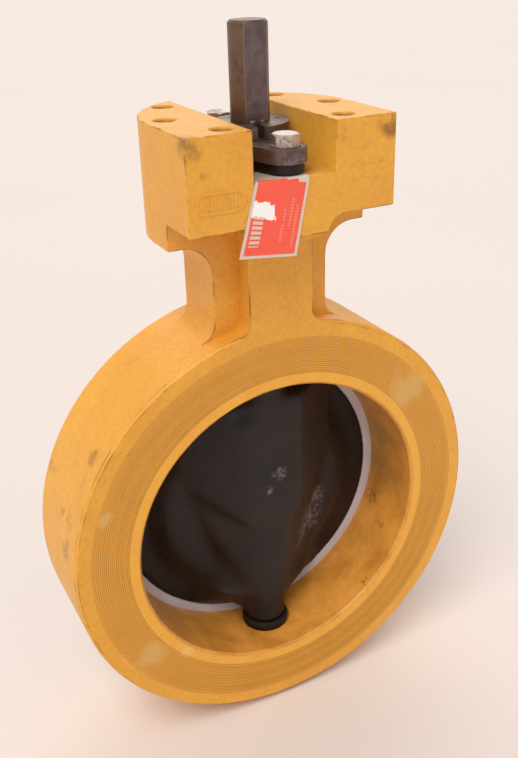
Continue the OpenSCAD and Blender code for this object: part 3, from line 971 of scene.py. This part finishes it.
class VALVE_OT_disc(Operator):
    """Rebuilds the disc as one soft-edged casting"""

    bl_idname = "valve.disc"
    bl_label = "Disc"

    def execute(self, context):
        sizes, colours = context.scene.valve_sizes, context.scene.valve_colours
        work = merged_mesh("disc")
        # Flared root that carries the plate down into the lower hub, flattened towards the plate
        bmesh.ops.create_cone(
            work,
            cap_ends=True,
            segments=48,
            radius1=10.5 * MM,
            radius2=30 * MM,
            depth=21 * MM,
            matrix=Matrix.Translation(beside_pipe(0, 4, -59.5)) @ Matrix.Diagonal((1, 0.45, 1, 1)),
        )
        # Ridge that runs down from the spine to the hub: its crest, then its feet on the plate
        crest = ((9, -12.6, 2), (6.5, -10.2, -56))
        feet = ((44, 6, 19), (17, 5, -57), (17, 14, -57), (44, 13, 19))
        ridge = [work.verts.new(beside_pipe(side * x, y, z)) for side in (-1, 1) for x, y, z in crest + feet]
        bmesh.ops.convex_hull(work, input=ridge)
        work = rebuilt_in_cells(context, work, sizes.disc_voxel)
        # The sealing rim keeps its shape, and so does the metal around the stem
        rim = 69 * MM
        around_stem = STEM_RADIUS + 1 * MM
        free = [
            v for v in work.verts if from_pipe(v.co) < rim and math.hypot(v.co.x, v.co.y) > around_stem
        ]
        soften(work, free, sizes.disc_smoothing)
        soften(work, [v for v in work.verts if from_pipe(v.co) >= rim], 2)
        low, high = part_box("disc")
        for vert in work.verts:
            vert.co = Vector(min(max(c, a), b) for c, a, b in zip(vert.co, low, high))
        finish_piece(work, "disc_casting", TURNING, [disc_coating(colours)], "disc")
        return {"FINISHED"}


class VALVE_OT_seat(Operator):
    """Finishes the seat, its spring and the retainer with its screws"""

    bl_idname = "valve.seat"
    bl_label = "Seat and retainer"

    def execute(self, context):
        colours = context.scene.valve_colours
        plate = stored_steel("turned_retainer_steel", "#8F8A86", "#5E5048", 0.35, 0.3, 0.5)
        screws = stored_steel("black_socket_screw_steel", "#6A6664", "#3A3230", 0.5, 0.35, 0.55)
        finish_node("seat", seat_polymer(colours), 0)
        finish_node("seat_spring_ring", plate, 0.2 * MM)
        finish_node("retainer_ring", plate, 0.2 * MM)
        finish_node("retainer_screws", screws, 0.1 * MM)
        return {"FINISHED"}


class VALVE_OT_stem(Operator):
    """Finishes the stem, its collar and the disc's pins"""

    bl_idname = "valve.stem"
    bl_label = "Stem"

    def execute(self, context):
        sizes = context.scene.valve_sizes
        turned = stored_steel("turned_pin_steel", "#85756D", "#5E4A40", 0.5, 0.34, 0.5)
        collar = stored_steel("oxidised_collar_steel", "#7C6C66", "#564640", 0.6, 0.36, 0.55)
        finish_node("stem", two_tone_stem(), sizes.machined_round)
        finish_node("stem_collar", collar, sizes.machined_round)
        finish_node("disc_pins", turned, sizes.machined_round)
        return {"FINISHED"}


class VALVE_OT_gland(Operator):
    """Finishes the gland: follower, flange, bolts and washers"""

    bl_idname = "valve.gland"
    bl_label = "Gland"

    def execute(self, context):
        sizes = context.scene.valve_sizes
        flange = stored_steel("oxidised_gland_steel", "#827270", "#5C4A48", 0.6, 0.38, 0.58)
        bolt = stored_steel("plated_bolt_steel", "#CDC1B9", "#746A67", 0.4, 0.28, 0.46)
        dark = stored_steel("oily_follower_steel", "#3A3230", "#1E1716", 0.7, 0.3, 0.5)
        finish_node("gland_flange", flange, 0.5 * MM)
        finish_node("gland_bolts", bolt, 0.25 * MM)
        finish_node("bolt_washers", bolt, 0.15 * MM)
        finish_node("gland_follower", dark, sizes.machined_round)
        finish_node("gland_spacer", dark, sizes.machined_round)
        return {"FINISHED"}


class VALVE_OT_inner(Operator):
    """Finishes what is hidden in the neck and the lower bore: bearings, washers, packing, plug"""

    bl_idname = "valve.inner"
    bl_label = "Inner parts"

    def execute(self, context):
        bronze = bearing_bronze()
        washer = stored_steel("ground_washer_steel", "#B4AFAA", "#7D736C", 0.2, 0.2, 0.35)
        plug = stored_steel("turned_plug_steel", "#7E7874", "#4C423D", 0.5, 0.35, 0.55)
        packing = fibre("plaited_packing", "#D9D4C8", "#A39C8E", 1.2)
        sheet = fibre("gasket_sheet", "#4A4A4E", "#242428", 0.8)
        for name in ("upper_bearing", "lower_bearing"):
            finish_node(name, bronze, 0.3 * MM)
        for name in ("upper_thrust_washer", "packing_washer"):
            finish_node(name, washer, 0.15 * MM)
        for i in range(1, 5):
            finish_node(f"packing_ring_{i}", packing, 0.4 * MM)
        finish_node("lower_thrust_collar", bpy.data.materials["coating_on_cast_disc"], 1.2 * MM)
        finish_node("bottom_plug", plug, 0.4 * MM)
        finish_node("plug_gasket", sheet, 0.1 * MM)
        return {"FINISHED"}


class VALVE_OT_tag(Operator):
    """Folds the red foil tag over the front edge of the head's shelf"""

    bl_idname = "valve.tag"
    bl_label = "Foil tag"

    def execute(self, context):
        sizes, colours = context.scene.valve_sizes, context.scene.valve_colours
        # The sheet runs forwards along the shelf, bends, and falls in front of the head
        width, back, bend, fall = 24.5 * MM, 16 * MM, 1.2 * MM, 30.5 * MM
        arc = bend * math.pi / 2
        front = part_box("tag")[0].y
        hanging = front + 0.55 * MM
        lying = SHELF_TOP + 0.45 * MM
        middle = -6.3 * MM
        columns, rows = 28, 56
        work = bmesh.new()
        layer = work.verts.layers.float_vector.new("across_down")
        grid = []
        for j in range(rows + 1):
            run = (back + arc + fall) * j / rows
            row = []
            for i in range(columns + 1):
                share = i / columns
                across = (share - 0.5) * width
                if run < back:
                    x = middle + 0.1 * MM + across * 0.96
                    y = hanging + bend + back - run
                    z = lying
                elif run < back + arc:
                    turn = (run - back) / bend
                    x = middle + across
                    y = hanging + bend - bend * math.sin(turn)
                    z = lying - bend + bend * math.cos(turn)
                else:
                    # The falling part drifts to one side, widens a little and ripples
                    drop = run - back - arc
                    ripple = noise.noise(Vector((share * 2.5, run * 90, 3.0))) * 0.35 * MM
                    x = middle - 0.1 * MM + across * (1 + 0.08 * drop / fall) - drop * 0.24
                    y = max(hanging - abs(ripple) * min(1, drop / (5 * MM)), front + sizes.foil)
                    z = lying - bend - drop - across * 0.12
                # The print starts past the bend, and lower on one side than on the other
                down = (run - back) / (arc + fall)
                down += (0.5 - share) * 4.5 * MM * (1 - down) / (arc + fall)
                vert = work.verts.new((x, y, z))
                vert[layer] = (share, down if down > 0 else -0.2, 0.0)
                row.append(vert)
            grid.append(row)
        # Hole that the front gland bolt goes through
        bolt = Vector(BOLT_HOLES[0]) * MM
        for j in range(rows):
            for i in range(columns):
                corners = (grid[j][i], grid[j][i + 1], grid[j + 1][i + 1], grid[j + 1][i])
                centre = sum((v.co.xy for v in corners), Vector((0, 0))) / 4
                if (centre - bolt).length > 3.6 * MM:
                    work.faces.new(corners)
        bmesh.ops.delete(work, geom=[v for v in work.verts if not v.link_faces], context="VERTS")
        bmesh.ops.recalc_face_normals(work, faces=work.faces)
        bmesh.ops.solidify(work, geom=work.faces, thickness=sizes.foil)
        finish_piece(work, "foil_tag", BODY, [printed_foil(colours)], "tag")
        return {"FINISHED"}


# Matt paper: faintly clouded and nearly without shine.
def floor_paper(colours):
    material, tree, shader, place = start_material("pale_floor_paper")
    cloud = add(tree, "ShaderNodeTexNoise", {"Vector": place, "Scale": per_mm(400), "Detail": 2.0})
    tone = coated(tree, tuple(colours.floor), [(linear("#E4DAD5"), cloud.outputs[0])])
    feed(tree, shader, {"Base Color": tone, "Roughness": 0.85, "Specular IOR Level": 0.2})
    return material


class VALVE_OT_stage(Operator):
    """Sets the pale floor, the soft lamps and the camera"""

    bl_idname = "valve.stage"
    bl_label = "Stage"

    def execute(self, context):
        self.lay_floor(context.scene)
        self.hang_lamps(context.scene)
        self.stand_camera(context.scene)
        context.scene.view_settings.view_transform = "Standard"
        return {"FINISHED"}

    def lay_floor(self, scene):
        """A wide round floor, whose edge stays out of sight in low views"""
        work = bmesh.new()
        bmesh.ops.create_circle(work, cap_ends=True, radius=14, segments=64)
        mesh = bpy.data.meshes.new("floor")
        work.to_mesh(mesh)
        work.free()
        mesh.materials.append(floor_paper(scene.valve_colours))
        floor = bpy.data.objects.new("floor", mesh)
        scene.collection.objects.link(floor)

    def hang_lamps(self, scene):
        """An even pale surround, a broad window at the left and a weaker light from behind"""
        world = bpy.data.worlds.new("studio")
        world.use_nodes = True
        surround = world.node_tree.nodes["Background"]
        feed(world.node_tree, surround, {"Color": linear("#FFF9F4"), "Strength": 0.6})
        scene.world = world
        for name, towards, power, spread, colour in (
            ("window_light", (-0.5, -0.42, 0.95), 1.75, 35, "#FFF9F2"),
            ("back_light", (0.35, 0.8, 0.62), 0.75, 60, "#FFFDFA"),
        ):
            data = bpy.data.lights.new(name, "SUN")
            data.energy = power
            data.angle = math.radians(spread)
            data.color = linear(colour)[:3]
            light = bpy.data.objects.new(name, data)
            light.rotation_mode = "QUATERNION"
            light.rotation_quaternion = Vector(towards).to_track_quat("Z", "Y")
            scene.collection.objects.link(light)

    def stand_camera(self, scene):
        """A camera at the left, looking down on the valve"""
        azimuth, elevation, roll = (math.radians(a) for a in (-26.68, 25.77, -1.70))
        aim = beside_pipe(1.04, 1.0, 69.53)
        distance = 460.12 * MM
        level = Vector((math.sin(azimuth), -math.cos(azimuth), 0))
        back = level * math.cos(elevation) + Vector((0, 0, math.sin(elevation)))
        right = (-back).cross(Vector((0, 0, 1))).normalized()
        up = right.cross(-back)
        across = right * math.cos(roll) + up * math.sin(roll)
        over = up * math.cos(roll) - right * math.sin(roll)
        data = bpy.data.cameras.new("camera")
        data.sensor_width = 36
        data.lens = 44.63
        data.clip_start = 10 * MM
        data.clip_end = 60
        camera = bpy.data.objects.new("camera", data)
        camera.location = aim + back * distance
        camera.rotation_mode = "QUATERNION"
        camera.rotation_quaternion = Matrix((across, over, back)).transposed().to_quaternion()
        scene.collection.objects.link(camera)
        scene.camera = camera


class VALVE_PT_panel(Panel):
    """Lists the valve's pieces in the order that they are made"""

    bl_idname = "VALVE_PT_panel"
    bl_label = "Wafer butterfly valve"
    bl_space_type = "VIEW_3D"
    bl_region_type = "UI"
    bl_category = "Valve"

    def draw(self, context):
        for group in (context.scene.valve_sizes, context.scene.valve_colours):
            box = self.layout.box()
            for name in group.__annotations__:
                box.prop(group, name)
        for piece in PIECES:
            self.layout.operator(piece.bl_idname)


PIECES = (
    VALVE_OT_stage,
    VALVE_OT_casting,
    VALVE_OT_threads,
    VALVE_OT_disc,
    VALVE_OT_seat,
    VALVE_OT_stem,
    VALVE_OT_gland,
    VALVE_OT_inner,
    VALVE_OT_tag,
)
CLASSES = (ValveSizes, ValveColours, *PIECES, VALVE_PT_panel)


def register():
    for made in CLASSES:
        bpy.utils.register_class(made)
    bpy.types.Scene.valve_sizes = PointerProperty(type=ValveSizes)
    bpy.types.Scene.valve_colours = PointerProperty(type=ValveColours)


def unregister():
    del bpy.types.Scene.valve_colours
    del bpy.types.Scene.valve_sizes
    for made in reversed(CLASSES):
        bpy.utils.unregister_class(made)


def main():
    register()
    for piece in PIECES:
        group, name = piece.bl_idname.split(".")
        getattr(getattr(bpy.ops, group), name)()


if __name__ == "__main__":
    main()
